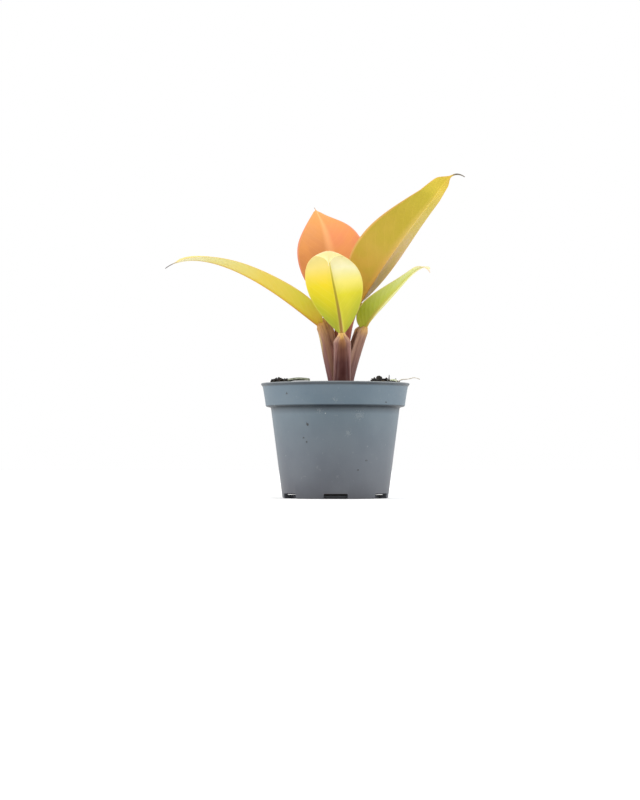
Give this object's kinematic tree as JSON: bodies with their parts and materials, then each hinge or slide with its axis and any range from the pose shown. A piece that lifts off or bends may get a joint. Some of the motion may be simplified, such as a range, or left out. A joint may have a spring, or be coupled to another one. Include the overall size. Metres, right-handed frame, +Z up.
{
  "type": "potted prince of orange philodendron",
  "caption": "Young philodendron with folded yellow, orange and green leaves on red petioles, growing in soil in a small tapered plastic nursery pot.",
  "frame": {"origin": "middle of the pot's underside, on the surface that the pot stands on", "axes": "+Z up, -Y towards the front of the picture, +X to the right as seen from the front"},
  "size_m": [0.1213, 0.0636, 0.1306],
  "materials": {
    "pot": "moulded plastic with a soft gloss, finely scuffed",
    "soil": "dark crumbly potting soil",
    "roots": "pale fleshy roots and stem",
    "petiole_front": "maroon keel between mauve wings, soft gloss",
    "blade_front": "glossy yellow-green with a brown midrib",
    "petiole_left": "red-brown with a pale green edge",
    "blade_left": "glossy yellow with an orange midrib",
    "petiole_small": "pinkish mauve, darker in the channel",
    "blade_small": "glossy green at the base to cream at the tip",
    "petiole_tall": "reddish, soft gloss",
    "blade_tall": "olive-gold with a tan midrib and a pink margin",
    "petiole_back": "reddish, soft gloss",
    "blade_back": "glossy orange, deeper towards the margins",
    "flake_olive": "dry olive-grey bark flake",
    "flake_pale": "dry pale flake",
    "fibre": "thin whitish fibre"
  },
  "bodies": {
    "root": {"pot": "pot", "soil": "soil", "crown_and_roots": "roots", "petiole_front": "petiole_front", "blade_front": "blade_front", "petiole_left": "petiole_left", "blade_left": "blade_left", "petiole_small": "petiole_small", "blade_small": "blade_small", "petiole_tall": "petiole_tall", "blade_tall": "blade_tall", "petiole_back": "petiole_back", "blade_back": "blade_back", "flake_olive": "flake_olive", "flake_pale": "flake_pale", "root_fibre": "fibre"}
  },
  "joints": []
}
